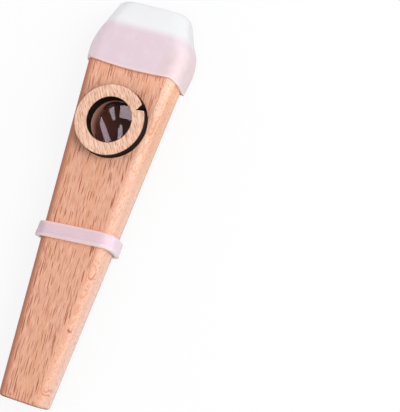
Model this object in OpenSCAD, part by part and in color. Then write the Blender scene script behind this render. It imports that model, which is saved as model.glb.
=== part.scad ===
// Tapered beech kazoo with a soft mouth sleeve, a soft grip band and a membrane
// that a notched wooden ring holds in a round seat.
// X runs across the body, Y towards the mouth end and Z out of the front face.
// The origin is under the middle of the length, on the surface that the kazoo lies on.

/* [Body] */
// Length of the wooden body
body_l = 133.5; // [125:0.5:150]
// Width at the outlet end
outlet_w = 16.3; // [15:0.1:20]
// Width at the widest place, where the shoulders begin
wide_w = 33.7; // [32:0.1:38]
// Thickness from front to back
body_t = 12.5; // [11.5:0.1:15]
// Radius of the four long edges
edge_r = 3.2; // [2:0.1:4]
// Radius of the two outlet corners, seen from the front
outlet_corner_r = 2.3; // [1.5:0.1:3]
// Rounding of the front and back edges at both ends
end_round = 1.2; // [0.6:0.1:1.6]
// Length of the curved shoulders at the mouth end
shoulder_l = 12; // [8:0.5:14]
// How far each shoulder curves in
shoulder_in = 4; // [2:0.1:4.5]

/* [Air channel] */
// Width of the flat slot that runs in from the mouth end
slot_w = 14; // [12:0.1:15]
// Height of the flat slot
slot_h = 6; // [5:0.1:6.4]
// How far the slot runs past the middle of the membrane
slot_past = 11.5; // [10:0.5:14]
// Diameter of the round bore from the slot to the outlet
outlet_d = 7; // [5:0.1:7.5]

/* [Membrane] */
// Distance from the mouth end of the wood to the middle of the membrane
seat_from_mouth = 34.2; // [31.5:0.1:39.5]
// Width of the frosted rim
rim_w = 2.6; // [2:0.1:3]
// Thickness of the frosted rim
rim_t = 0.3; // [0.2:0.05:0.5]
// Thickness of the clear film
film_t = 0.2; // [0.1:0.05:0.3]
// Width of the ledge round the well, which carries the membrane
ledge_w = 4.4; // [3.5:0.1:5]
// Gap between the membrane's edge and the wall of its seat
membrane_gap = 0.2; // [0.1:0.05:0.4]
// Gap under the film and between the rim and the ring
lay_gap = 0.02; // [0.01:0.01:0.05]

/* [Ring] */
// Outer diameter of the retaining ring
ring_od = 25; // [23:0.1:26]
// Width of the ring's face
ring_face_w = 4.5; // [4:0.1:5.5]
// Height of the ring
ring_h = 4.9; // [4.5:0.1:5.5]
// How far the ring stands out of the front face
ring_proud = 3.7; // [3:0.1:4]
// Gap between the ring and the wall of its seat
ring_gap = 0.06; // [0.02:0.01:0.1]
// Depth of the V notch in the ring's edge
notch_depth = 2.7; // [1.5:0.1:3]
// Width of the notch at the ring's edge
notch_w = 2.5; // [1.5:0.1:3.5]
// Direction of the notch, turned from +X towards the mouth end
notch_angle = 34; // [0:1:90]

/* [Mouth sleeve] */
// Length of wood that the sleeve covers on the front
cover_l = 15; // [12:0.5:16]
// How far the tip reaches past the wood
tip_l = 9.4; // [8:0.1:11]
// Wall of the sleeve
sleeve_wall = 1.2; // [1:0.1:1.6]
// How far each side of the sleeve curves in over the shoulders
neck_in = 2.8; // [1.8:0.1:3.2]
// Width of the tip before its corners
tip_w = 25; // [24:0.5:27]
// Thickness of the tip
tip_t = 7.4; // [7.2:0.1:9]
// Radius of the tip's two corners
tip_corner_r = 2.4; // [1.5:0.1:3]
// Width of the opening in the tip
opening_w = 19; // [16:0.5:20]
// Height of the opening in the tip
opening_h = 4.8; // [4.5:0.1:5.2]
// Radius of the opening's corners
opening_r = 1.8; // [1:0.1:2]
// Rounding of the tip's rim
tip_round = 0.7; // [0.3:0.1:0.9]
// Lean of the hem, which is nearer the outlet at the back
hem_lean = 8; // [0:1:16]

/* [Grip band] */
// Distance from the outlet end to the middle of the band
band_from_outlet = 58.8; // [40:0.1:70]
// Width of the band
band_w = 5.2; // [4:0.1:7]
// Thickness of the band
band_wall = 1.8; // [1.2:0.1:2.4]
// How far the band is turned askew, its right end nearer the mouth
band_skew = 5.3; // [0:0.1:8]

/* [Soft fit] */
// Gap drawn between soft pieces and the wood
grip_gap = 0.15; // [0.05:0.05:0.3]

/* [Hidden] */

beech = [0.88, 0.66, 0.53];
pale_beech = [0.93, 0.76, 0.65];
milky_silicone = [0.91, 0.83, 0.87];
frosted = [0.94, 0.94, 0.95];
clear_film = [0.62, 0.58, 0.60, 0.5];

// Cuts run this far past the faces that they open
over = 1;
// Facets of a true circle, and steps of a section's corner and of an end's rounding
round_fn = 96;
corner_steps = 7;
end_steps = 6;
// Sections along the sleeve's curve
curve_steps = 8;
// The corner radius of the tip's sections, as a share of their half thickness
tip_edge_share = 0.85;

outlet_y = -(body_l + tip_l) / 2;
mouth_y = outlet_y + body_l;
tip_y = mouth_y + tip_l;
wide_y = mouth_y - shoulder_l;
seat_y = mouth_y - seat_from_mouth;
slot_end_y = seat_y - slot_past;

mid_z = body_t / 2 + grip_gap + max(band_wall, sleeve_wall);
front_z = mid_z + body_t / 2;

ring_hole_d = ring_od - 2 * ring_face_w;
seat_d = ring_od + 2 * ring_gap;
well_d = seat_d - 2 * ledge_w;
membrane_d = seat_d - 2 * membrane_gap;
rim_hole_d = membrane_d - 2 * rim_w;
ring_z = front_z + ring_proud - ring_h;
rim_z = ring_z - lay_gap - rim_t;
film_z = rim_z - film_t;
ledge_z = film_z - lay_gap;

sleeve_half_w = wide_w / 2 + grip_gap + sleeve_wall;
sleeve_half_t = body_t / 2 + grip_gap + sleeve_wall;
neck_half_w = sleeve_half_w - neck_in;
hem_y = mouth_y - cover_l;
// The back of the hem, where the lean brings it nearest the outlet
hem_low_y = hem_y - 2 * sleeve_half_t * tan(hem_lean);
// The faces of the sleeve start to close in towards the tip halfway along the shoulders
face_turn_y = mouth_y - shoulder_l / 2;

// Inset of a quarter circle of radius r at a distance from the end that it rounds
function quarter_in(r, from_end) =
    from_end >= r ? 0 : r - sqrt(r * r - (r - from_end) * (r - from_end));

// Radius of an arc that falls by drop over run, and its fall at a distance from its start
function arc_r(run, drop) = (run * run + drop * drop) / (2 * drop);
function arc_drop(r, along) = along <= 0 ? 0 : r - sqrt(r * r - along * along);

// Half width of the tapering sides, before the ends are rounded
function taper_half_w(y) =
    outlet_w / 2 + (wide_w - outlet_w) / 2 * (y - outlet_y) / (wide_y - outlet_y);

// Half width of the body anywhere along it
function body_half_w(y) =
    y <= wide_y
    ? taper_half_w(y) - quarter_in(outlet_corner_r, y - outlet_y)
    : wide_w / 2 - shoulder_in * (1 - sqrt(1 - pow((y - wide_y) / shoulder_l, 2)));

// How far the front and the back are rounded in anywhere along the body
function body_end_in(y) = quarter_in(end_round, min(y - outlet_y, mouth_y - y));

// Half width and half thickness of the sleeve's outside
function sleeve_w_at(y) =
    y <= mouth_y
    ? sleeve_half_w - arc_drop(arc_r(shoulder_l, neck_in), y - wide_y)
    : neck_half_w - (neck_half_w - tip_w / 2) * (y - mouth_y) / tip_l;
function sleeve_t_at(y) =
    sleeve_half_t
    - arc_drop(arc_r(tip_y - face_turn_y, sleeve_half_t - tip_t / 2), y - face_turn_y);
function sleeve_r_at(y) =
    min(edge_r + grip_gap + sleeve_wall, tip_edge_share * sleeve_t_at(y));

// Places where the sections of a rounded end stand, spaced as the steps of a quarter
// circle, from the first that it rounds to the last
function end_places(end_y, r) =
    [for (k = [0 : end_steps]) end_y + r * (1 - sin(90 * k / end_steps))];
function reversed(list) = [for (k = [len(list) - 1 : -1 : 0]) list[k]];

outlet_places = reversed(end_places(outlet_y, outlet_corner_r));
shoulder_places = [for (k = [0 : end_steps])
    let (y = wide_y + shoulder_l * sin(90 * k / end_steps))
    if (y < mouth_y - end_round) y];
mouth_places = end_places(mouth_y, -end_round);

// One rounded rectangular cross-section, as a ring of points round the body's middle plane
function section(y, half_w, half_t, corner_r) =
    [for (quarter = [0 : 3], k = [0 : corner_steps])
        let (a = 90 * (quarter + k / corner_steps),
             side = quarter == 0 || quarter == 3 ? 1 : -1,
             face = quarter < 2 ? 1 : -1)
        [side * (half_w - corner_r) + corner_r * cos(a),
         y,
         mid_z + face * (half_t - corner_r) + corner_r * sin(a)]];

// Sections of the body's outside, grown evenly by a clearance or a wall
function body_sections(places, grow) =
    [for (y = places)
        section(y + grow * ((y - outlet_y) - (mouth_y - y)) / body_l,
                body_half_w(y) + grow,
                body_t / 2 - body_end_in(y) + grow,
                edge_r - body_end_in(y) + grow)];

// A closed skin over a row of sections, which run towards +Y
module loft(sections) {
    ring = len(sections[0]);
    last = len(sections) - 1;
    near_end = [for (k = [ring - 1 : -1 : 0]) k];
    far_end = [for (k = [0 : ring - 1]) last * ring + k];
    sides = [for (i = [0 : last - 1], k = [0 : ring - 1])
        let (a = i * ring + k, b = i * ring + (k + 1) % ring)
        each [[a, b, b + ring], [a, b + ring, a + ring]]];
    polyhedron(points = [for (s = sections) each s],
               faces = concat([near_end], sides, [far_end]), convexity = 4);
}

// The outside of the body, grown evenly by a clearance or a wall
module body_form(grow = 0) {
    loft(body_sections(concat(outlet_places, shoulder_places, mouth_places), grow));
}

// The flat slot from the mouth end, with half round sides
module mouth_slot() {
    slot_l = mouth_y - slot_end_y + over;
    translate([0, slot_end_y + slot_l, mid_z])
        rotate([90, 0, 0])
            linear_extrude(height = slot_l) {
                square([slot_w - slot_h, slot_h], center = true);
                for (side = [-1, 1])
                    translate([side * (slot_w - slot_h) / 2, 0])
                        circle(d = slot_h, $fn = round_fn);
            }
}

// The round bore from the outlet end into the slot
module outlet_bore() {
    translate([0, slot_end_y + over, mid_z])
        rotate([90, 0, 0])
            cylinder(d = outlet_d, h = slot_end_y - outlet_y + 2 * over, $fn = round_fn);
}

// The round seat for membrane and ring, and the well under it down to the slot's floor
module membrane_seat() {
    well_z = mid_z - slot_h / 2;
    translate([0, seat_y, ledge_z])
        cylinder(d = seat_d, h = front_z - ledge_z + over, $fn = round_fn);
    translate([0, seat_y, well_z])
        cylinder(d = well_d, h = ledge_z - well_z + over, $fn = round_fn);
}

// One block of beech, tapered to the outlet, hollow from end to end
module beech_body() {
    color(beech)
        difference() {
            body_form();
            mouth_slot();
            outlet_bore();
            membrane_seat();
        }
}

// Pushed into the seat on top of the membrane, and pried out again at its notch
module retaining_ring() {
    color(pale_beech)
        translate([0, seat_y, ring_z])
            difference() {
                cylinder(d = ring_od, h = ring_h, $fn = round_fn);
                translate([0, 0, -over])
                    cylinder(d = ring_hole_d, h = ring_h + 2 * over, $fn = round_fn);
                rotate([0, 0, notch_angle])
                    translate([ring_od / 2 - notch_depth, 0, -over])
                        linear_extrude(height = ring_h + 2 * over)
                            ring_notch();
            }
}

// The notch's outline from its tip outwards
module ring_notch() {
    reach_share = 1 + over / notch_depth;
    polygon([[0, 0],
             [notch_depth * reach_share, -notch_w / 2 * reach_share],
             [notch_depth * reach_share, notch_w / 2 * reach_share]]);
}

// The stiff frosted ring that the film is stuck to
module membrane_rim() {
    color(frosted)
        translate([0, seat_y, rim_z])
            difference() {
                cylinder(d = membrane_d, h = rim_t, $fn = round_fn);
                translate([0, 0, -over])
                    cylinder(d = rim_hole_d, h = rim_t + 2 * over, $fn = round_fn);
            }
}

// The clear film that buzzes, stretched under the rim
module membrane_film() {
    color(clear_film)
        translate([0, seat_y, film_z])
            cylinder(d = membrane_d, h = film_t, $fn = round_fn);
}

// The sleeve's outside, from its hem over the shoulders to the flat tip
module sleeve_outside() {
    neck_l = tip_y - tip_corner_r - mouth_y;
    curve_places = [for (k = [0 : curve_steps]) wide_y + shoulder_l * k / curve_steps];
    neck_places = [for (k = [1 : end_steps - 1]) mouth_y + neck_l * k / end_steps];
    corner_places = end_places(tip_y, -tip_corner_r);
    loft([for (y = concat([hem_low_y - over], curve_places, neck_places, corner_places))
        let (tip_in = quarter_in(tip_round, tip_y - y))
        section(y,
                sleeve_w_at(y) - quarter_in(tip_corner_r, tip_y - y),
                sleeve_t_at(y) - tip_in,
                sleeve_r_at(y) - tip_in)]);
}

// The hollow tip, which narrows from the end of the wood to the opening
module sleeve_hollow() {
    hollow_l = tip_y - tip_corner_r - mouth_y;
    hollow_places = [for (k = [0 : curve_steps]) mouth_y + hollow_l * k / curve_steps];
    loft(concat([for (y = hollow_places)
                    section(y,
                            sleeve_w_at(y) - sleeve_wall,
                            sleeve_t_at(y) - sleeve_wall,
                            sleeve_r_at(y) - sleeve_wall)],
                [section(tip_y, opening_w / 2, opening_h / 2, opening_r),
                 section(tip_y + over, opening_w / 2, opening_h / 2, opening_r)]));
}

// The pocket for the wood, as wide as its widest place right down to the hem
module sleeve_pocket() {
    loft(concat([section(hem_low_y - 2 * over,
                         wide_w / 2 + grip_gap,
                         body_t / 2 + grip_gap,
                         edge_r + grip_gap)],
                body_sections(concat(shoulder_places, mouth_places), grip_gap)));
}

// Everything on the outlet side of the leaning hem
module below_hem() {
    block = 2 * wide_w;
    translate([0, hem_y, front_z])
        rotate([-hem_lean, 0, 0])
            translate([-block / 2, -block, -block / 2])
                cube(block);
}

// The milky sleeve that the player's lips hold, stretched over the mouth end
module mouth_sleeve() {
    color(milky_silicone)
        difference() {
            sleeve_outside();
            sleeve_pocket();
            sleeve_hollow();
            below_hem();
        }
}

// The milky band round the body, which sits a little askew
module grip_band() {
    block = 2 * wide_w;
    color(milky_silicone)
        difference() {
            intersection() {
                body_form(grip_gap + band_wall);
                translate([0, outlet_y + band_from_outlet, mid_z])
                    rotate([0, 0, band_skew])
                        cube([block, band_w, block], center = true);
            }
            body_form(grip_gap);
        }
}

beech_body();
retaining_ring();
membrane_rim();
membrane_film();
mouth_sleeve();
grip_band();
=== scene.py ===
import math

import bmesh
import bpy
from mathutils import Euler, Matrix, Vector


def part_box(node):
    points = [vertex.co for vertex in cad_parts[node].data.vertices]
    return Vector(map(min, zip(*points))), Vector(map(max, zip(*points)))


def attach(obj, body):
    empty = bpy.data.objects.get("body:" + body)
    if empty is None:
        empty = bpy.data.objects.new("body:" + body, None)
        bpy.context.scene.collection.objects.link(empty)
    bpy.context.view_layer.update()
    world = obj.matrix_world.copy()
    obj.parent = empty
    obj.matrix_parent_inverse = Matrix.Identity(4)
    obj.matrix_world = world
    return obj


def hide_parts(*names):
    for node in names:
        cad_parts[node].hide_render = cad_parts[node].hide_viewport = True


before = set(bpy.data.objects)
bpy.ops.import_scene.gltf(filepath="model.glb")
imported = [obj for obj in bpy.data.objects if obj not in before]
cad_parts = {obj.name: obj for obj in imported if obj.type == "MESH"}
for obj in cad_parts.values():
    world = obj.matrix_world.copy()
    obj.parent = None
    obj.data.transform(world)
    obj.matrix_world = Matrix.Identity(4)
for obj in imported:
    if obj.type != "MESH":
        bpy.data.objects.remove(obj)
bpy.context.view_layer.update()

# The body is one block of beech, sawn to a taper towards the outlet, rounded along its
# four long edges, sanded and lightly oiled. It is milled hollow: a flat slot from the
# mouth end, a round well, the seat over it that the cutter burnt, and a round outlet bore.
mm = 0.001
body_low, body_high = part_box("beech_body")
ring_low, ring_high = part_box("retaining_ring")
film_low, film_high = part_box("membrane_film")
outlet_y = body_low.y
mouth_y = body_high.y
back_z = body_low.z
front_z = body_high.z
mid_z = (back_z + front_z) / 2
half_thick = (front_z - back_z) / 2
wide_half = body_high.x
outlet_half = 8.15 * mm
edge_radius = 3.2 * mm
outlet_corner = 1.3 * mm
end_rounding = 0.6 * mm
shoulder_length = 12 * mm
shoulder_fall = 4 * mm
wide_y = mouth_y - shoulder_length
taper_rate = (wide_half - outlet_half) / (wide_y - outlet_y)
seat_y = (ring_low.y + ring_high.y) / 2
seat_radius = (ring_high.x - ring_low.x) / 2 + 0.1 * mm
seat_floor = film_low.z - 0.02 * mm
well_radius = 8.16 * mm
slot_half_wide = 7 * mm
slot_half_high = 3 * mm
slot_corner = slot_half_high * 0.995
slot_end = seat_y - 11.5 * mm
bore_radius = 3.5 * mm
bore_rim_cut = 0.35 * mm
seat_rim_cut = 0.08 * mm
overrun = 1 * mm
weld_reach = 0.002 * mm
edge_steps = 10
end_steps = 8
shoulder_steps = 12
slot_steps = 24
round_segments = 128


def rounded_off(radius, from_end):
    """How far a quarter round of that radius draws the surface in, at a distance from the end."""
    if from_end >= radius:
        return 0.0
    return radius - math.sqrt(radius ** 2 - (radius - from_end) ** 2)


def body_half_wide(y):
    taper = outlet_half + (wide_half - outlet_half) * (y - outlet_y) / (wide_y - outlet_y)
    if y <= wide_y:
        return taper - rounded_off(outlet_corner, y - outlet_y)
    along = min(1.0, (y - wide_y) / shoulder_length)
    return wide_half - shoulder_fall * (1 - math.sqrt(1 - along ** 2))


def body_half_thick(y):
    return half_thick - rounded_off(end_rounding, min(y - outlet_y, mouth_y - y))


def across_outline(shape, y, half_wide, half_thick, corner, steps, back_corner=None):
    """The edges of a rounded rectangle that stands across the body, open inside."""
    upright = Matrix.Translation((0, y, mid_z)) @ Matrix.Rotation(math.pi / 2, 4, "X")
    sheet = bmesh.ops.create_grid(shape, x_segments=1, y_segments=1, size=1)["verts"]
    bmesh.ops.scale(shape, vec=(half_wide, half_thick, 1), verts=sheet)
    bmesh.ops.transform(shape, matrix=upright, verts=sheet)
    for radius, side in [(corner, 1), (back_corner or corner, -1)]:
        corners = [v for v in shape.verts if (v.co.z - mid_z) * side > half_thick * 0.999]
        bmesh.ops.bevel(shape, geom=corners, offset=radius, offset_type="OFFSET",
                        affect="VERTICES", segments=steps, profile=0.5, material=-1)
    ring = list(shape.edges)
    bmesh.ops.delete(shape, geom=list(shape.faces), context="FACES_ONLY")
    return ring


def carry_on(shape, ring, y, spread, thicken):
    """Draws the open end on to y, its sides moved out by spread and its faces by thicken."""
    drawn = bmesh.ops.extrude_edge_only(shape, edges=ring)["geom"]
    points = {g for g in drawn if isinstance(g, bmesh.types.BMVert)}
    for point in points:
        point.co.y = y
        point.co.x += spread * math.copysign(1, point.co.x)
        point.co.z += thicken * math.copysign(1, point.co.z - mid_z)
    return [g for g in drawn if isinstance(g, bmesh.types.BMEdge) and points.issuperset(g.verts)]


def round_bar(shape, radius, start, end):
    """A closed round bar between two points."""
    start, end = Vector(start), Vector(end)
    turn = (end - start).to_track_quat("Z", "Y").to_matrix().to_4x4()
    bmesh.ops.create_cone(shape, cap_ends=True, segments=round_segments, radius1=radius,
                          radius2=radius, depth=(end - start).length,
                          matrix=Matrix.Translation((start + end) / 2) @ turn)


def piece_of(shape, name, sharp_from=32):
    """The finished shape as a piece: welded, faces outwards, edges sharp from that angle."""
    bmesh.ops.remove_doubles(shape, verts=shape.verts, dist=weld_reach)
    bmesh.ops.recalc_face_normals(shape, faces=shape.faces)
    mesh = bpy.data.meshes.new(name)
    shape.to_mesh(mesh)
    shape.free()
    for face in mesh.polygons:
        face.use_smooth = True
    mesh.set_sharp_from_angle(angle=math.radians(sharp_from))
    made = bpy.data.objects.new(name, mesh)
    bpy.context.scene.collection.objects.link(made)
    return made


def mill(block, cutter):
    """Takes the cutter's shape out of the block."""
    tool = piece_of(cutter, "cutter")
    cut = block.modifiers.new("cut", "BOOLEAN")
    cut.operation = "DIFFERENCE"
    cut.solver = "EXACT"
    cut.object = tool
    settled = block.evaluated_get(bpy.context.evaluated_depsgraph_get())
    milled = bpy.data.meshes.new_from_object(settled)
    block.modifiers.clear()
    block.data = milled
    bpy.data.objects.remove(tool)


def even_shading(made):
    """Keeps flat faces flat in the light where they run into rounded edges."""
    weigh = made.modifiers.new("flat stays flat", "WEIGHTED_NORMAL")
    weigh.keep_sharp = True


block = bmesh.new()
open_end = across_outline(block, outlet_y, body_half_wide(outlet_y), body_half_thick(outlet_y),
                          edge_radius, edge_steps)
bmesh.ops.contextual_create(block, geom=open_end)
quarter = [1 - math.cos(math.pi / 2 * k / end_steps) for k in range(1, end_steps + 1)]
stations = [outlet_y + outlet_corner * share for share in quarter]
stations += [wide_y + shoulder_length * math.sin(math.pi / 2 * k / shoulder_steps)
             for k in range(shoulder_steps)]
stations += [mouth_y - end_rounding * (1 - share) for share in reversed(quarter[:-1])]
stations = sorted(y for y in set(stations) if y < mouth_y) + [mouth_y]
before = outlet_y
for y in stations:
    open_end = carry_on(block, open_end, y, body_half_wide(y) - body_half_wide(before),
                        body_half_thick(y) - body_half_thick(before))
    before = y
bmesh.ops.contextual_create(block, geom=open_end)
body = piece_of(block, "body")

slot = bmesh.new()
slot_ring = across_outline(slot, slot_end, slot_half_wide, slot_half_high, slot_corner,
                           slot_steps)
bmesh.ops.contextual_create(slot, geom=slot_ring)
slot_ring = carry_on(slot, slot_ring, mouth_y + overrun, 0, 0)
bmesh.ops.contextual_create(slot, geom=slot_ring)
mill(body, slot)
outlet_bore = bmesh.new()
round_bar(outlet_bore, bore_radius, (0, outlet_y - overrun, mid_z), (0, slot_end + overrun, mid_z))
mill(body, outlet_bore)
well = bmesh.new()
round_bar(well, well_radius, (0, seat_y, mid_z - slot_half_high), (0, seat_y, front_z + overrun))
mill(body, well)
seat = bmesh.new()
round_bar(seat, seat_radius, (0, seat_y, seat_floor), (0, seat_y, front_z + overrun))
mill(body, seat)


def rim_edges(shape, centre, axis, radius, slack=0.02 * mm):
    """The edges of the round rim of that radius about an axis through centre."""
    axis = Vector(axis)

    def on_rim(point):
        away = point.co - Vector(centre)
        along = away.dot(axis)
        return abs(along) < slack and abs((away - along * axis).length - radius) < slack

    return [e for e in shape.edges if all(on_rim(v) for v in e.verts)]


broken = bmesh.new()
broken.from_mesh(body.data)
for centre, axis, radius, width in [((0, outlet_y, mid_z), (0, 1, 0), bore_radius, bore_rim_cut),
                                    ((0, seat_y, front_z), (0, 0, 1), seat_radius, seat_rim_cut)]:
    bmesh.ops.bevel(broken, geom=rim_edges(broken, centre, axis, radius), offset=width,
                    offset_type="OFFSET", affect="EDGES", segments=2, profile=0.5, material=-1)
bpy.data.objects.remove(body)
body = piece_of(broken, "body")
even_shading(body)


def paint(red, green, blue):
    """A colour as a painter's chart gives it, from 0 to 255, turned into light."""
    def light(level):
        share = level / 255
        return share / 12.92 if share <= 0.04045 else ((share + 0.055) / 1.055) ** 2.4
    return light(red), light(green), light(blue), 1.0


def node(finish, kind, inputs=(), **settings):
    """Adds one shader node, its settings made and its inputs given a value or wired up."""
    made = finish.node_tree.nodes.new("ShaderNode" + kind)
    for name, value in settings.items():
        setattr(made, name, value)
    for name, value in dict(inputs).items():
        if isinstance(value, bpy.types.NodeSocket):
            finish.node_tree.links.new(value, made.inputs[name])
        else:
            made.inputs[name].default_value = value
    return made


def calc(finish, operation, first, second=0.0, third=0.0):
    """One sum on two or three values."""
    return node(finish, "Math", {0: first, 1: second, 2: third}, operation=operation).outputs[0]


def times(finish, first, *others):
    """All the values multiplied: as masks, high only where every one of them is."""
    for other in others:
        first = calc(finish, "MULTIPLY", first, other)
    return first


def either(finish, first, *others):
    """The highest of the values: as masks, high where any one of them is."""
    for other in others:
        first = calc(finish, "MAXIMUM", first, other)
    return first


def slope(finish, value, factor, start):
    """The value times a factor, counted from start."""
    return calc(finish, "MULTIPLY_ADD", value, factor, start)


def rise(finish, value, low, high):
    """From 0 at low to 1 at high, smoothly. Low may be the larger."""
    return node(finish, "MapRange", {"Value": value, "From Min": low, "From Max": high},
                interpolation_type="SMOOTHSTEP").outputs[0]


def from_zero(finish, first, second):
    """How far two values, as the legs of a right angle, reach from zero."""
    return calc(finish, "SQRT", calc(finish, "ADD", calc(finish, "POWER", first, 2.0),
                                     calc(finish, "POWER", second, 2.0)))


def from_well_axis(finish, x, y):
    """How far a place is from the upright axis through the seat and the well."""
    return from_zero(finish, x, calc(finish, "SUBTRACT", y, seat_y / mm))


def tint(finish, share, first, second):
    """The first colour where share is 0, and the second where it is 1."""
    return node(finish, "Mix", {0: share, 6: first, 7: second}, data_type="RGBA").outputs[2]


def wash(finish, under, colour, where, strength=1.0):
    """A coat of colour over what lies under it, as thick as where and strength say."""
    if strength != 1.0:
        where = times(finish, where, strength)
    return tint(finish, where, under, colour)


def scaled(finish, place, factor):
    """A place or a colour with all three of its values multiplied."""
    return node(finish, "VectorMath", {0: place, "Scale": factor}, operation="SCALE").outputs[0]


def spot(finish, x, y, z):
    """Three values as one place."""
    return node(finish, "CombineXYZ", {0: x, 1: y, 2: z}).outputs[0]


def grain(finish, place, detail=2.0, roughness=0.5):
    """Cloudy variation from 0 to 1, one cloud to a unit of place."""
    return node(finish, "TexNoise", {"Vector": place, "Scale": 1.0, "Detail": detail,
                                     "Roughness": roughness}).outputs["Fac"]


def streaks(finish, place, rates, detail=2.0, roughness=0.5):
    """The same variation drawn out: rates are its clouds to the millimetre, three ways."""
    return grain(finish, spot(finish, *[times(finish, value, rate) for value, rate
                                        in zip(place, rates)]), detail, roughness)


def way_faced(finish):
    """Which way the surface faces, as its shares of x, y and z."""
    return node(finish, "SeparateXYZ", {0: node(finish, "TexCoord").outputs["Normal"]}).outputs


def new_finish(name):
    """An empty material, its places in millimetres, and the x, y and z of those places."""
    finish = bpy.data.materials.new(name)
    finish.use_nodes = True
    finish.node_tree.nodes.clear()
    in_mm = scaled(finish, node(finish, "TexCoord").outputs["Object"], 1 / mm)
    return finish, in_mm, node(finish, "SeparateXYZ", {0: in_mm}).outputs


def surface(finish, colour, roughness, bump=None, height=0.0, **more):
    """A Principled surface with that colour, roughness and bump, height in millimetres."""
    inputs = {"Base Color": colour, "Roughness": roughness}
    inputs.update({name.replace("_", " "): value for name, value in more.items()})
    if bump is not None:
        inputs["Normal"] = node(finish, "Bump", {"Height": bump, "Distance": height * mm,
                                                 "Strength": 1.0}).outputs[0]
    shader = node(finish, "BsdfPrincipled", inputs).outputs[0]
    node(finish, "OutputMaterial", {"Surface": shader})


def ray_flecks(finish, across, along, cell_wide, cell_long, half_wide, half_long, seed):
    """The dark rays of beech: short spindles along the grain, one in each cell."""

    def staggered(column):
        return times(finish, calc(finish, "PINGPONG", column, 1.0), 0.5)

    column = slope(finish, across, 1 / cell_wide, seed)
    place = spot(finish, column, slope(finish, along, 1 / cell_long, staggered(column)), 0.0)
    cells = node(finish, "TexVoronoi", {"Vector": place, "Scale": 1.0, "Randomness": 0.9},
                 voronoi_dimensions="2D")
    chance = node(finish, "SeparateColor", {0: cells.outputs["Color"]}).outputs
    own_place = node(finish, "SeparateXYZ", {0: cells.outputs["Position"]}).outputs
    own_column, own_row = own_place[0], own_place[1]
    reach = slope(finish, chance[0], half_long * 0.6, half_long * 0.4)
    own_along = times(finish, calc(finish, "SUBTRACT", own_row, staggered(own_column)), cell_long)
    off_along = calc(finish, "DIVIDE", calc(finish, "SUBTRACT", along, own_along), reach)
    off_across = times(finish, calc(finish, "SUBTRACT", column, own_column), cell_wide / half_wide)
    away = calc(finish, "ADD", calc(finish, "POWER", off_along, 2.0),
                calc(finish, "POWER", off_across, 2.0))
    depth = slope(finish, calc(finish, "POWER", chance[1], 1.2), 0.7, 0.3)
    return times(finish, rise(finish, away, 1.0, 0.45), depth)


beech, here, (x, y, z) = new_finish("sanded_beech")
right = calc(beech, "GREATER_THAN", x, 0.0)
left = calc(beech, "GREATER_THAN", 0.0, x)
side_plane = slope(beech, y, taper_rate, (outlet_half - taper_rate * outlet_y) / mm)
from_side = calc(beech, "SUBTRACT", side_plane, calc(beech, "ABSOLUTE", x))
on_side = rise(beech, calc(beech, "ABSOLUTE", way_faced(beech)[0]), 0.2, 0.5)
pale_reach = times(beech, rise(beech, from_side, 3.9, 2.7), rise(beech, y, -20.0, 10.0), right)
on_side = either(beech, on_side, pale_reach)

# The grain leans a little across the body and wanders, and the front and the back show
# other stretches of it. The rays are thickest along the margin beside the side face.
grain_lean = 0.075
other_face_shift = 53.0
sway = streaks(beech, (x, y, z), (0.05, 0.03, 0.05), 2.0)
shiver = streaks(beech, (x, y, z), (0.5, 0.16, 0.3), 1.0)
wander = calc(beech, "ADD", times(beech, sway, 1.2), times(beech, shiver, 0.12))
across = calc(beech, "ADD", slope(beech, y, grain_lean, x), wander)
other_face = times(beech, calc(beech, "GREATER_THAN", z, mid_z / mm), other_face_shift)
along = calc(beech, "ADD", y, other_face)
fine_streaks = streaks(beech, (across, along, z), (3.6, 0.3, 0.35), 3.0, 0.65)
broad_streaks = streaks(beech, (across, along, z), (0.3, 0.02, 0.12), 2.0)

at_margin = times(beech, rise(beech, from_side, 6.0, 4.2), rise(beech, from_side, 2.4, 3.2))
short_rays = ray_flecks(beech, across, along, cell_wide=1.12, cell_long=6.4, half_wide=0.145,
                        half_long=3.0, seed=3.7)
long_rays = ray_flecks(beech, across, along, cell_wide=1.9, cell_long=10.0, half_wide=0.17,
                       half_long=4.4, seed=11.3)
margin_rays = ray_flecks(beech, across, along, cell_wide=1.2, cell_long=8.0, half_wide=0.24,
                         half_long=4.0, seed=23.9)
rays = either(beech, short_rays, long_rays, times(beech, margin_rays, at_margin))
rays = times(beech, rays, slope(beech, on_side, -0.85, 1.0))
ground = tint(beech, rise(beech, fine_streaks, 0.27, 0.73), paint(214, 150, 119),
              paint(241, 188, 161))
ground = wash(beech, ground, paint(224, 156, 117), rise(beech, broad_streaks, 0.42, 0.62), 0.4)
ground = wash(beech, ground, paint(158, 72, 34), rays, 0.95)

# The side face shows the growth rings on edge, as fine lines with dark specks. Its right
# side is painted paler from the front edge to the back, partly its side grain and partly a
# painted sheen; the left side is painted darker as painted shade, and so is the back edge.
year_turn = math.radians(38)
year_wide = 0.9
waver = grain(beech, spot(beech, times(beech, y, 0.1), 0.0, 0.0), 1.0)
heart = calc(beech, "ADD", times(beech, x, math.sin(year_turn)),
             times(beech, z, math.cos(year_turn)))
heart = calc(beech, "ADD", heart, calc(beech, "ADD", times(beech, waver, 2.0),
                                       times(beech, shiver, 0.2)))
year = calc(beech, "FRACT", calc(beech, "DIVIDE", heart, year_wide))
late_wood = times(beech, rise(beech, year, 0.5, 0.93), rise(beech, year, 1.0, 0.94))
fine_years = grain(beech, spot(beech, times(beech, heart, 4.5), 0.0, 0.0), 1.0)
figure = calc(beech, "ADD", times(beech, late_wood, 0.22),
              times(beech, rise(beech, fine_years, 0.42, 0.68), 0.55))
speckle = streaks(beech, (x, y, z), (2.2, 0.9, 1.5), 3.0, 0.75)
figure = either(beech, figure, times(beech, rise(beech, speckle, 0.51, 0.64), 0.85))

past_lower_part = rise(beech, y, -40.0, 0.0)
golden = rise(beech, y, 5.0, 25.0)


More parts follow.
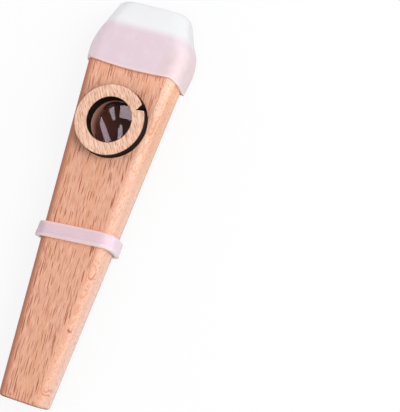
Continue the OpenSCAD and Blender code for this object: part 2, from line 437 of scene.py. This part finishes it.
def changing(near_outlet, midway, near_mouth):
    """A colour of the side face that changes from the outlet to the mouth."""
    lower = tint(beech, past_lower_part, paint(*near_outlet), paint(*midway))
    return tint(beech, golden, lower, paint(*near_mouth))


# Colours of the right side's rounded edge and face: the wood's side grain, painted lighter and
# darker as painted light and shade, palest towards the back as a painted sheen.
edge_wood = changing((225, 168, 138), (239, 190, 164), (241, 198, 172))
strip_wood = changing((249, 207, 183), (244, 202, 179), (239, 189, 159))
pale_wood = changing((253, 225, 213), (250, 218, 200), (249, 206, 176))
pale_side = tint(beech, rise(beech, z, front_z / mm + 0.1, front_z / mm - 2.5), edge_wood,
                 strip_wood)
pale_side = wash(beech, pale_side, pale_wood,
                 rise(beech, z, front_z / mm - 3.0, back_z / mm + 3.0))
right_side = tint(beech, figure, pale_side, paint(210, 136, 102))
# The left side face is painted darker than the right, as painted shade away from the lamp.
left_side_painted_shade = tint(beech, figure, paint(214, 148, 118), paint(184, 114, 86))
ground = wash(beech, ground, tint(beech, right, left_side_painted_shade, right_side), on_side)
# Painted shade along the lower back edge, where it turns towards the floor.
low_back_painted_shade = rise(beech, z, back_z / mm + 4.2, back_z / mm + 2.2)
ground = wash(beech, ground, paint(150, 104, 92), low_back_painted_shade, 0.3)
# Painted shade along the left margin of the front face, away from the lamp.
left_margin_painted_shade = times(beech, left, rise(beech, from_side, 4.0, 0.5),
                    slope(beech, on_side, -0.35, 0.85))
ground = wash(beech, ground, paint(178, 98, 66), left_margin_painted_shade)
from_outlet = calc(beech, "SUBTRACT", y, outlet_y / mm)
# The wood is darkened within the last millimetre of the outlet end, streaked with the grain.
dark_outlet_edge = times(beech, rise(beech, from_outlet, 0.75, 0.25),
                   rise(beech, fine_streaks, 0.35, 0.6))
ground = wash(beech, ground, paint(84, 52, 44), dark_outlet_edge, 0.75)

# A small knot with a pale heart, two spots, a loop in the figure above them and a curl
# near the outlet lie along the right edge. Next to the sleeve the wood is painted a little
# lighter, as painted light against the shade of the hem.
knot_y = outlet_y + 27.5 * mm
knot = Vector((body_half_wide(knot_y) - 1.3 * mm, knot_y, front_z - 1.3 * mm)) / mm
pale_heart = knot + Vector((0.5, 0.8, 0.0))
to_knot, to_heart = [
    node(beech, "VectorMath", {0: here, 1: middle}, operation="DISTANCE").outputs["Value"]
    for middle in (knot, pale_heart)]
swirl = calc(beech, "SINE", slope(beech, to_knot, 5.5, times(beech, shiver, 6.0)))
in_knot = times(beech, rise(beech, to_knot, 1.3, 0.5), rise(beech, to_heart, 0.45, 0.95),
                slope(beech, swirl, 0.15, 0.85))
ground = wash(beech, ground, paint(168, 76, 44), in_knot)


def off_curl(middle_x, middle_y, half_wide, half_long):
    """How far out a place lies from the middle of a curl in the figure, 1 on its outline."""
    off_x = calc(beech, "DIVIDE", calc(beech, "SUBTRACT", x, middle_x), half_wide)
    off_y = calc(beech, "DIVIDE", calc(beech, "SUBTRACT", y, middle_y), half_long)
    return from_zero(beech, off_x, off_y)


in_front = rise(beech, z, mid_z / mm, mid_z / mm + 2.0)
loop_off = slope(beech, shiver, 0.5, off_curl(10.3, -23.1, 1.0, 2.5))
loop_line = times(beech, rise(beech, loop_off, 0.95, 1.15), rise(beech, loop_off, 1.45, 1.2),
                  slope(beech, rise(beech, y, -21.5, -24.5), 0.55, 0.25))
two_spots = either(beech, rise(beech, off_curl(10.3, -28.1, 0.4, 0.45), 1.0, 0.3),
                   rise(beech, off_curl(10.1, -29.4, 0.6, 0.5), 1.0, 0.3))
end_off = slope(beech, shiver, 0.5, off_curl(7.9, -64.7, 1.0, 1.5))
end_curl = times(beech, rise(beech, calc(beech, "SINE", times(beech, end_off, 9.0)), 0.0, 1.0),
                 rise(beech, end_off, 2.2, 1.7), rise(beech, y, -63.6, -65.4))
end_spots = either(beech, rise(beech, off_curl(-3.3, -69.9, 0.9, 0.6), 1.2, 0.2),
                   rise(beech, off_curl(5.6, -70.4, 0.9, 0.6), 1.2, 0.2))
ground = wash(beech, ground, paint(176, 104, 58), times(beech, end_spots, in_front), 0.5)
curls = either(beech, loop_line, times(beech, two_spots, 0.7), times(beech, end_curl, 0.8))
ground = wash(beech, ground, paint(198, 116, 78), times(beech, curls, in_front, right))
# Painted light: the wood is lightened towards the sleeve, against the shade its hem casts.
painted_light_by_sleeve = slope(beech, rise(beech, y, 38.0, 45.0), 0.1, 1.0)
ground = scaled(beech, ground, painted_light_by_sleeve)

# The cutter burnt the seat black. Below it the well is painted dark brown as painted shade,
# and its wall darker towards the bottom and lighter at the top, as painted shade and light.
from_hub = from_well_axis(beech, x, y)
in_seat = times(beech, rise(beech, from_hub, seat_radius / mm + 0.3, seat_radius / mm),
                rise(beech, z, front_z / mm + 0.02, front_z / mm - 0.1))
scorched = tint(beech, rise(beech, fine_streaks, 0.3, 0.7), paint(46, 26, 18), paint(22, 12, 9))
ground = wash(beech, ground, scorched, in_seat)
in_well = rise(beech, z, seat_floor / mm + 0.02, seat_floor / mm - 0.05)
near_well = rise(beech, from_hub, well_radius / mm + 5.0, well_radius / mm + 1.5)
on_wall = times(beech, rise(beech, from_hub, well_radius / mm - 0.1, well_radius / mm - 0.03),
                rise(beech, from_hub, well_radius / mm + 0.2, well_radius / mm + 0.1))
wall_height = rise(beech, z, back_z / mm + 3.5, seat_floor / mm)
# Painted shade inside the well and the slot, and on the wall painted shade low down and painted
# light at the top.
well_floor_painted_shade = tint(beech, fine_streaks, paint(134, 76, 54), paint(92, 46, 32))
wall_painted_shade = tint(beech, wall_height, paint(128, 72, 50), paint(226, 172, 150))
ground = wash(beech, ground, tint(beech, on_wall, well_floor_painted_shade, wall_painted_shade),
              times(beech, in_well, near_well))
fibres = streaks(beech, (across, along, z), (6.0, 0.3, 6.0), 2.0)
relief = calc(beech, "SUBTRACT", times(beech, fibres, 0.5), rays)
surface(beech, ground, slope(beech, fibres, 0.2, 0.42), relief, 0.03, Specular_IOR_Level=0.4)
body.data.materials.clear()
body.data.materials.append(beech)
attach(body, "body")
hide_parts("beech_body")

# The membrane's rim is a thin washer die-cut from frosted plastic. It lies on the ledge
# round the well and keeps the film stretched.
rim_low, rim_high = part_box("membrane_rim")
rim_outer = rim_high.x
rim_inner = rim_outer - 2.6 * mm


def washer(shape, inner, outer, low, high):
    """A flat ring: its section spun once round the axis of the well."""
    section = [(inner, seat_y, low), (outer, seat_y, low), (outer, seat_y, high),
               (inner, seat_y, high)]
    corners = [shape.verts.new(place) for place in section]
    sides = [shape.edges.new((corners[k - 1], corners[k])) for k in range(len(corners))]
    bmesh.ops.spin(shape, geom=corners + sides, cent=(0, seat_y, 0), axis=(0, 0, 1),
                   angle=math.tau, steps=round_segments, use_merge=True, use_duplicate=False)


rim_shape = bmesh.new()
washer(rim_shape, rim_inner, rim_outer, rim_low.z, rim_high.z)
rim = piece_of(rim_shape, "membrane_washer")
frosted, here, (x, y, z) = new_finish("frosted_plastic")
speckle = grain(frosted, scaled(frosted, here, 4.0), 3.0, 0.7)
white = tint(frosted, rise(frosted, speckle, 0.35, 0.7), paint(222, 223, 227), paint(244, 244, 247))
from_hub = from_well_axis(frosted, x, y)
# Painted shade on the washer's outer part, which lies under the ring.
painted_shade_under_ring = rise(frosted, from_hub, rim_outer / mm - 2.0, rim_outer / mm - 1.0)
surface(frosted, wash(frosted, white, paint(48, 36, 32), painted_shade_under_ring), 0.7, speckle, 0.03, Alpha=0.7)
rim.data.materials.append(frosted)
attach(rim, "membrane")
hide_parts("membrane_rim")

# The film is clear plastic foil, glued under the washer. It is stretched by hand, so it
# holds a few creases, whose flats mirror the lamps above it.
film_thick = 0.05 * mm
film_z = film_high.z - film_thick
film_radius = film_high.x
film_segments = 96
flat_lean = math.tan(math.radians(3))
fold_wide = 0.25 * mm
film_shape = bmesh.new()
bmesh.ops.create_circle(film_shape, cap_ends=True, segments=film_segments, radius=film_radius,
                        matrix=Matrix.Translation((0, seat_y, film_z)))
# The corners of each flat between the creases, in millimetres from the middle.
flats = [
    [(-4.1, 4.6), (-2.0, 6.8), (0.5, 1.3), (-0.5, 0.6)],
    [(-0.5, 7.8), (2.6, 8.2), (5.8, 4.8), (6.6, 2.3), (1.2, 2.3)],
    [(-5.8, 1.7), (-4.1, 0.8), (-1.4, -2.6), (1.7, -6.2), (-0.7, -7.4), (-3.1, -4.3), (-4.7, -2.0)],
    [(2.4, 0.9), (3.7, -0.3), (4.6, -2.8), (4.6, -4.9), (3.0, -5.2), (2.0, -1.5)],
]


def sides_of(corners):
    """The sides of a flat: for each, a point on it and the way inwards across it."""
    outline = [Vector((a * mm, seat_y + b * mm, film_z)) for a, b in corners]
    middle = sum(outline, Vector()) / len(outline)
    sides = []
    for k, corner in enumerate(outline):
        run = corner - outline[k - 1]
        inwards = Vector((run.y, -run.x, 0)).normalized()
        sides.append((corner, inwards if inwards.dot(middle - corner) > 0 else -inwards))
    return sides, middle


for corners in flats:
    for corner, inwards in sides_of(corners)[0]:
        for fold in (0, fold_wide):
            sheet = list(film_shape.verts) + list(film_shape.edges) + list(film_shape.faces)
            bmesh.ops.bisect_plane(film_shape, geom=sheet, plane_co=corner + inwards * fold,
                                   plane_no=inwards, dist=0.001 * mm)
for corners in flats:
    sides, middle = sides_of(corners)
    for point in film_shape.verts:
        inside = min((point.co - corner).dot(inwards) for corner, inwards in sides)
        share = max(0.0, min(1.0, inside / fold_wide))
        point.co.z += share * flat_lean * (point.co.x - middle.x)
sheet = bmesh.ops.extrude_face_region(film_shape, geom=list(film_shape.faces))["geom"]
bmesh.ops.translate(film_shape, vec=(0, 0, film_thick),
                    verts=[g for g in sheet if isinstance(g, bmesh.types.BMVert)])
film = piece_of(film_shape, "film", sharp_from=1)
clear = new_finish("clear_foil")[0]
foil = node(clear, "BsdfTransparent", {"Color": (0.94, 0.92, 0.93, 1)}).outputs[0]
shine = node(clear, "BsdfGlossy", {"Color": (1, 1, 1, 1), "Roughness": 0.03}).outputs[0]
glancing = node(clear, "LayerWeight", {"Blend": 0.5}).outputs["Facing"]
mirror_share = slope(clear, calc(clear, "POWER", glancing, 5.0), 0.95, 0.045)
foil_shine = node(clear, "MixShader", {0: mirror_share, 1: foil, 2: shine}).outputs[0]
node(clear, "OutputMaterial", {"Surface": foil_shine})
film.data.materials.append(clear)
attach(film, "membrane")
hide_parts("membrane_film")

# The retaining ring is cut from a thin board of pale beech by a hot beam, which leaves
# every wall charred black. A V notch in its edge takes a fingernail to pry it out.
ring_radius = 12.5 * mm
ring_hole = 8 * mm
notch_turn = math.radians(34)
notch_half_turn = math.radians(5.8)
notch_depth = 2.7 * mm
ring_edge_cut = 0.1 * mm
ring_steps = 360
ring_shape = bmesh.new()
outer = bmesh.ops.create_circle(ring_shape, segments=ring_steps, radius=ring_radius)["verts"]
bmesh.ops.create_circle(ring_shape, segments=ring_steps, radius=ring_hole)
for point in outer:
    off = abs(math.remainder(math.atan2(point.co.y, point.co.x) - notch_turn, math.tau))
    if off < notch_half_turn:
        point.co *= 1 - notch_depth / ring_radius * (1 - off / notch_half_turn)
bmesh.ops.bridge_loops(ring_shape, edges=list(ring_shape.edges))
raised = bmesh.ops.extrude_face_region(ring_shape, geom=list(ring_shape.faces))["geom"]
bmesh.ops.translate(ring_shape, vec=(0, 0, ring_high.z - ring_low.z),
                    verts=[g for g in raised if isinstance(g, bmesh.types.BMVert)])
bmesh.ops.translate(ring_shape, vec=(0, seat_y, ring_low.z), verts=ring_shape.verts)
bmesh.ops.recalc_face_normals(ring_shape, faces=ring_shape.faces)
rims = [e for e in ring_shape.edges
        if len(e.link_faces) == 2 and e.calc_face_angle() > math.radians(60)
        and abs(e.verts[0].co.z - e.verts[1].co.z) < 0.01 * mm]
bmesh.ops.bevel(ring_shape, geom=rims, offset=ring_edge_cut, offset_type="OFFSET",
                affect="EDGES", segments=2, profile=0.5, material=-1)
ring = piece_of(ring_shape, "ring")
even_shading(ring)
pale, here, (x, y, z) = new_finish("pale_beech")
ring_grain = math.radians(32)
turned = node(pale, "Mapping", {"Vector": here, "Rotation": (0, 0, -ring_grain)})
tx, ty, tz = node(pale, "SeparateXYZ", {0: turned.outputs[0]}).outputs
pale_sway = grain(pale, spot(pale, times(pale, tx, 0.3), times(pale, ty, 0.12), 0.0), 1.0)
pale_across = slope(pale, pale_sway, 1.2, tx)
pale_streaks = streaks(pale, (pale_across, ty, tz), (2.2, 0.16, 0.5), 3.0, 0.7)
pale_rays = ray_flecks(pale, pale_across, ty, cell_wide=0.8, cell_long=3.4, half_wide=0.15,
                       half_long=1.6, seed=5.1)
bare = tint(pale, rise(pale, pale_streaks, 0.34, 0.66), paint(220, 169, 140), paint(249, 210, 186))
bare = wash(pale, bare, paint(160, 98, 70), pale_rays, 0.8)
from_hub = from_well_axis(pale, x, y)
singed = either(pale, rise(pale, from_hub, ring_radius / mm - 0.35, ring_radius / mm),
                rise(pale, from_hub, ring_hole / mm + 0.3, ring_hole / mm))
bare = wash(pale, bare, paint(96, 54, 36), singed, 0.7)
walls = rise(pale, calc(pale, "ABSOLUTE", way_faced(pale)[2]), 0.9, 0.6)
char = tint(pale, rise(pale, pale_streaks, 0.35, 0.65), paint(10, 5, 4), paint(36, 19, 13))
surface(pale, wash(pale, bare, char, walls), slope(pale, walls, 0.25, 0.5), pale_streaks, 0.02,
        Specular_IOR_Level=0.12)
ring.data.materials.append(pale)
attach(ring, "ring")
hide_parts("retaining_ring")

# The mouth sleeve is moulded in one piece from milky silicone. It is stretched over the
# shoulders as far as a slanting hem, and its flat hollow tip is what the lips hold.
sleeve_low, sleeve_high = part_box("mouth_sleeve")
sleeve_half_wide = sleeve_high.x
sleeve_half_thick = (sleeve_high.z - sleeve_low.z) / 2
tip_y = sleeve_high.y
sleeve_wall = 1.05 * mm
hem_y = mouth_y - 15 * mm
hem_lean = math.tan(math.radians(6.5))
hem_sag = 0.33 * mm
hem_reach = 8 * mm
hem_cling_right, hem_cling_left = 0.7 * mm, 0.5 * mm
left_rise, left_rise_most = 1.3 * mm, 0.8 * mm
right_rise, right_rise_most = 1.05 * mm, 0.38 * mm
right_end, right_fall = -0.42 * mm, 5.7 * mm
bulge_out, bulge_y, bulge_long = 1.35 * mm, 60 * mm, 8 * mm
dent_in, dent_y, dent_long = 0.55 * mm, 63.7 * mm, 1.6 * mm
front_corner = 5.5 * mm
back_corner = 3 * mm
neck_half_wide = sleeve_half_wide - 2.8 * mm
tip_half_wide = 12.5 * mm
tip_half_thick = 3.7 * mm
tip_corner = 2.4 * mm
tip_rounding = 0.7 * mm
face_turn_y = mouth_y - 4.5 * mm
corner_steps = 8
face_cuts = 13
hem_rows = 2
shoulder_rows = 14
tip_rows = 5


def arc_fall(run, drop, along):
    """How far an arc that drops by drop over run has fallen, part of the way along."""
    radius = (run ** 2 + drop ** 2) / (2 * drop)
    return radius - math.sqrt(radius ** 2 - max(0.0, along) ** 2)


def sleeve_wide(y):
    if y <= mouth_y:
        return sleeve_half_wide - arc_fall(shoulder_length, sleeve_half_wide - neck_half_wide,
                                           y - wide_y)
    narrowing = (neck_half_wide - tip_half_wide) * (y - mouth_y) / (tip_y - mouth_y)
    return neck_half_wide - narrowing - rounded_off(tip_corner, tip_y - y)


def sleeve_thick(y):
    fallen = arc_fall(tip_y - face_turn_y, sleeve_half_thick - tip_half_thick, y - face_turn_y)
    return sleeve_half_thick - fallen - rounded_off(tip_rounding, tip_y - y)


def moulded(made, rounding, steps):
    """Rounds off the edges and smooths the whole, as rubber comes out of its mould."""
    soften = made.modifiers.new("rounded edges", "BEVEL")
    soften.width = rounding
    soften.segments = steps
    soften.limit_method = "ANGLE"
    soften.angle_limit = math.radians(50)
    smooth = made.modifiers.new("moulded", "SUBSURF")
    smooth.levels = 1
    smooth.render_levels = 1


def matt_rubber(finish, here, colour, least_rough):
    """Silicone with a breath of dust on it, which lets a little light in."""
    dust = grain(finish, scaled(finish, here, 5.0), 3.0)
    surface(finish, colour, slope(finish, dust, 0.2, least_rough), dust, 0.01,
            Subsurface_Weight=0.3, Subsurface_Radius=(0.004, 0.003, 0.003),
            Subsurface_Scale=0.3, Sheen_Weight=0.35, Sheen_Roughness=0.4)


skin = bmesh.new()
across_outline(skin, hem_y, sleeve_half_wide, sleeve_half_thick, front_corner, corner_steps,
               back_corner)
bmesh.ops.subdivide_edges(skin, edges=[e for e in skin.edges
                                       if e.calc_length() > sleeve_half_wide], cuts=face_cuts)
sleeve_ring = list(skin.edges)
places = [hem_y + (wide_y - hem_y) * k / hem_rows for k in range(1, hem_rows + 1)]
places += [wide_y + (tip_y - tip_corner - wide_y) * k / shoulder_rows
           for k in range(1, shoulder_rows + 1)]
places += [tip_y - tip_corner * (1 - math.sin(math.pi / 2 * k / tip_rows))
           for k in range(1, tip_rows + 1)]
thick_before, wide_before = sleeve_half_thick, sleeve_half_wide
for place in places:
    sleeve_ring = carry_on(skin, sleeve_ring, place, 0, 0)
    thinner = sleeve_thick(place) / thick_before
    flat = wide_before - front_corner
    narrower = (sleeve_wide(place) - front_corner) / flat
    for point in {v for e in sleeve_ring for v in e.verts}:
        point.co.z = mid_z + (point.co.z - mid_z) * thinner
        out = abs(point.co.x)
        point.co.x = math.copysign(min(out, flat) * narrower + max(0.0, out - flat), point.co.x)
    thick_before, wide_before = sleeve_thick(place), sleeve_wide(place)
bmesh.ops.recalc_face_normals(skin, faces=skin.faces)
for point in skin.verts:
    x, y, z = point.co
    outwards = x / sleeve_half_wide
    near_hem = max(0.0, 1 - (y - hem_y) / hem_reach)
    if x < 0:
        curve = min(left_rise_most, left_rise * outwards ** 2 - hem_sag)
    else:
        curve = min(right_rise_most, right_rise * outwards ** 2 - hem_sag,
                    right_end + right_fall * (1 - outwards))
    point.co.y += near_hem * (curve - hem_lean * (front_z - z))
    point.co.x -= (hem_cling_right if x > 0 else hem_cling_left) * near_hem ** 2 * outwards
    bulge = bulge_out * math.exp(-((y - bulge_y) / bulge_long) ** 2)
    dent = dent_in * math.exp(-((y - dent_y) / dent_long) ** 2)
    if x > 0:
        point.co.x += (bulge - dent) * min(1.0, outwards ** 2)
bmesh.ops.solidify(skin, geom=list(skin.faces), thickness=sleeve_wall)
sleeve = piece_of(skin, "sleeve")
moulded(sleeve, rounding=0.4 * mm, steps=3)
milky, here, (x, y, z) = new_finish("milky_silicone_sleeve")
wood_behind = rise(milky, y, mouth_y / mm + 1.8, mouth_y / mm - 2.0)
# The sleeve is painted darker and more peach on its right, as painted shade against the lamp's
# light.
painted_shade_right = rise(milky, x, 8.0, 13.5)
# Painted light on the sleeve's left rim, where it faces away from the lamp.
painted_light_left = rise(milky, way_faced(milky)[0], -0.2, -0.7)
cloud = grain(milky, scaled(milky, here, 0.25), 2.0)
clear_tip = tint(milky, painted_shade_right, paint(239, 239, 238), paint(228, 228, 229))
clear_tip = wash(milky, clear_tip, paint(255, 255, 255), painted_light_left)
right_side = tint(milky, rise(milky, y, 64.0, 52.0), paint(229, 211, 218), paint(225, 203, 205))
over_wood = tint(milky, painted_shade_right, paint(228, 206, 214), right_side)
over_wood = wash(milky, over_wood, paint(252, 228, 233), painted_light_left)
rubber = tint(milky, wood_behind, clear_tip, over_wood)
rubber = wash(milky, rubber, paint(246, 236, 238), rise(milky, cloud, 0.4, 0.7), 0.15)
outwards = times(milky, x, mm / sleeve_half_wide)
to_right = calc(milky, "GREATER_THAN", x, 0.0)
steep = slope(milky, to_right, (right_rise - left_rise) / mm, left_rise / mm)
most = slope(milky, to_right, (right_rise_most - left_rise_most) / mm, left_rise_most / mm)
curve = times(milky, calc(milky, "POWER", calc(milky, "ABSOLUTE", outwards), 2.0), steep)
curve = calc(milky, "MINIMUM", calc(milky, "SUBTRACT", curve, hem_sag / mm), most)
curve = calc(milky, "MINIMUM", curve, slope(milky, outwards, -right_fall / mm,
                                            (right_end + right_fall) / mm))
lean = times(milky, calc(milky, "SUBTRACT", front_z / mm, z), hem_lean)
from_hem = calc(milky, "ADD", calc(milky, "SUBTRACT", y, hem_y / mm),
                calc(milky, "SUBTRACT", lean, curve))
# The thin lip of the hem is painted peach: partly the wood showing through it, partly a painted
# highlight.
rubber = wash(milky, rubber, paint(244, 214, 204), rise(milky, from_hem, 1.1, 0.5), 0.8)
matt_rubber(milky, here, rubber, least_rough=0.38)
sleeve.data.materials.append(milky)
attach(sleeve, "sleeve")
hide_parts("mouth_sleeve")

# The grip band is cut from the same silicone as a closed loop. It is stretched round the
# body, where it sits a little askew, and its edges are rounded.
band_low, band_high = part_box("grip_band")
band_y = (band_low.y + band_high.y) / 2
band_width = 5.2 * mm
band_wall = 1.8 * mm
band_gap = 0.04 * mm
band_skew = math.tan(math.radians(5.3))
band_tip = math.tan(math.radians(5.5))
band_pinch = 0.2
pinch_starts, pinch_full = 7 * mm, 11 * mm
right_drop = 0.4 * mm
groove_share = 0.34
groove_half_share = 0.07
groove_deep = 0.2 * mm
band_shares = [0.18, groove_share - groove_half_share, groove_share,
               groove_share + groove_half_share, 0.6, 0.8, 1]
loop = bmesh.new()
band_ring = across_outline(loop, band_y - band_width / 2, body_half_wide(band_y) + band_gap,
                           half_thick + band_gap, edge_radius + band_gap, corner_steps)
for share in band_shares:
    band_ring = carry_on(loop, band_ring, band_y + band_width * (share - 0.5), 0, 0)
bmesh.ops.recalc_face_normals(loop, faces=loop.faces)
bmesh.ops.solidify(loop, geom=list(loop.faces), thickness=-band_wall)
loop.normal_update()
for point in loop.verts:
    along_band = (point.co.y - band_y) / band_width + 0.5
    outside = (abs(point.co.x) > body_half_wide(band_y) + band_wall / 2
               or abs(point.co.z - mid_z) > half_thick + band_wall / 2)
    if outside and abs(along_band - groove_share) < 0.01:
        point.co -= point.normal * groove_deep
    to_right = 0.5 + 0.5 * point.co.x / wide_half
    point.co.y -= right_drop * to_right * (1 - along_band)
    over_corner = min(1.0, max(0.0, (point.co.x - pinch_starts) / (pinch_full - pinch_starts)))
    point.co.y -= max(0.0, along_band - 0.5) * band_width * band_pinch * over_corner
    point.co.y += point.co.x * band_skew + (point.co.z - front_z) * band_tip * to_right
    point.co.x += math.copysign(taper_rate * (point.co.y - band_y), point.co.x)
band = piece_of(loop, "band")
moulded(band, rounding=0.6 * mm, steps=4)
lilac, here, (x, y, z) = new_finish("milky_silicone_band")
cloud = grain(lilac, scaled(lilac, here, 0.3), 2.0)
rubber = tint(lilac, cloud, paint(218, 191, 201), paint(228, 201, 208))
# Painted shade on the band's left end, away from the lamp.
rubber = wash(lilac, rubber, paint(214, 188, 198), rise(lilac, x, -9.0, -11.5), 0.5)
leaning = calc(lilac, "SUBTRACT", y, times(lilac, x, band_skew))
off_middle = calc(lilac, "ABSOLUTE", calc(lilac, "SUBTRACT", leaning, band_y / mm))
from_edge = calc(lilac, "SUBTRACT", band_width / 2 / mm, off_middle)
thin_edge = times(lilac, rise(lilac, from_edge, 1.1, 0.4), rise(lilac, z, 8.0, 13.0))
rubber = wash(lilac, rubber, paint(242, 208, 204), thin_edge, 0.6)
# Painted light on the band's lower right, which faces the lamp.
painted_light_low_right = times(lilac, rise(lilac, x, 9.0, 12.0), rise(lilac, z, 16.2, 13.5))
rubber = wash(lilac, rubber, paint(244, 226, 238), painted_light_low_right, 0.55)
# Painted light on the band's faces that turn towards the outlet, away from the light.
painted_light_lower_lip = rise(lilac, way_faced(lilac)[1], -0.4, -0.9)
rubber = wash(lilac, rubber, paint(255, 238, 232), painted_light_lower_lip, 0.8)
matt_rubber(lilac, here, rubber, least_rough=0.36)
band.data.materials.append(lilac)
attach(band, "band")
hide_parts("grip_band")

# The kazoo lies on a white sheet that shows only its shadow. A large lamp lights it from
# the right and a small one is mirrored in the film. The pale room does the rest: it is
# lighter on the left, and dark where the film would mirror it.
sheet_half = 3
sheet_glow = 0.86
sheet_bounce = (0.4, 0.4, 0.4, 1)
sheet_white = (0.9, 0.9, 0.9, 1)
floor_shape = bmesh.new()
bmesh.ops.create_grid(floor_shape, x_segments=1, y_segments=1, size=sheet_half)
floor = piece_of(floor_shape, "floor")
paper = new_finish("white_sheet")[0]
path = node(paper, "LightPath").outputs
seen = either(paper, path["Is Camera Ray"], either(paper, path["Is Glossy Ray"],
                                                   path["Is Transmission Ray"]))
sheet_colour = tint(paper, seen, sheet_bounce, sheet_white)
lit = node(paper, "BsdfDiffuse", {"Color": sheet_colour}).outputs[0]
white = node(paper, "Emission", {"Color": (1, 1, 1, 1), "Strength": 1.0}).outputs[0]
shown = node(paper, "MixShader", {0: times(paper, seen, sheet_glow), 1: lit, 2: white}).outputs[0]
node(paper, "OutputMaterial", {"Surface": shown})
floor.data.materials.append(paper)

world = bpy.data.worlds.new("pale_room")
bpy.context.scene.world = world
world.use_nodes = True
room = world.node_tree.nodes["Background"]
room.inputs["Color"].default_value = (0.96, 0.97, 1.0, 1)
room_level, dark_level, window_level = 0.605, 0.06, 0.42
dark_side, window_side = (-0.29, 0.125, 0.949), (-0.99, 0.0, 0.14)
way = node(world, "TexCoord").outputs["Object"]
towards_dark, towards_window = [
    node(world, "VectorMath", {0: way, 1: side}, operation="DOT_PRODUCT").outputs["Value"]
    for side in (dark_side, window_side)]
room_light = node(world, "MapRange", {"Value": towards_dark, "From Min": 0.93, "From Max": 0.99,
                                      "To Min": room_level, "To Max": dark_level},
                  interpolation_type="SMOOTHSTEP").outputs[0]
window_light = times(world, rise(world, towards_window, 0.45, 0.95), window_level)
world.node_tree.links.new(calc(world, "ADD", room_light, window_light), room.inputs["Strength"])


def lamp(name, aim, direction, distance, size, strength, colour=(1, 1, 1)):
    """A square lamp that faces the point it is aimed at, from a direction and distance."""
    light = bpy.data.lights.new(name, "AREA")
    light.shape = "SQUARE"
    light.size = size
    light.energy = strength
    light.color = colour
    made = bpy.data.objects.new(name, light)
    made.location = Vector(aim) + Vector(direction).normalized() * distance
    made.rotation_mode = "QUATERNION"
    made.rotation_quaternion = Vector(direction).to_track_quat("Z", "Y")
    bpy.context.scene.collection.objects.link(made)


lamp("side_lamp", aim=(0, 0, mid_z), direction=(0.76, 0.15, 0.65), distance=0.9, size=0.6,
     strength=6.2)
lamp("window_lamp", aim=(0, seat_y, film_z), direction=(-0.451, 0.159, 0.8785), distance=0.8,
     size=0.1, strength=0.1, colour=(1, 0.84, 0.92))

# The camera stands over the outlet end, to the right, and looks down at the kazoo through
# a long lens. Its place and turn were fitted to the outlines in the photograph.
focal_pixels = 1500
photo_high = 412
eye_place = (183.634 * mm, -53.777 * mm, 486.625 * mm)
eye_turn = [math.radians(a) for a in (12.206, 13.918, 18.668)]
eye = bpy.data.cameras.new("camera")
eye.sensor_width = 36
eye.lens = focal_pixels / photo_high * eye.sensor_width
eye.clip_start = 0.01
camera = bpy.data.objects.new("camera", eye)
camera.location = eye_place
camera.rotation_euler = Euler(eye_turn)
bpy.context.scene.collection.objects.link(camera)
bpy.context.scene.camera = camera
bpy.context.scene.view_settings.view_transform = "Standard"
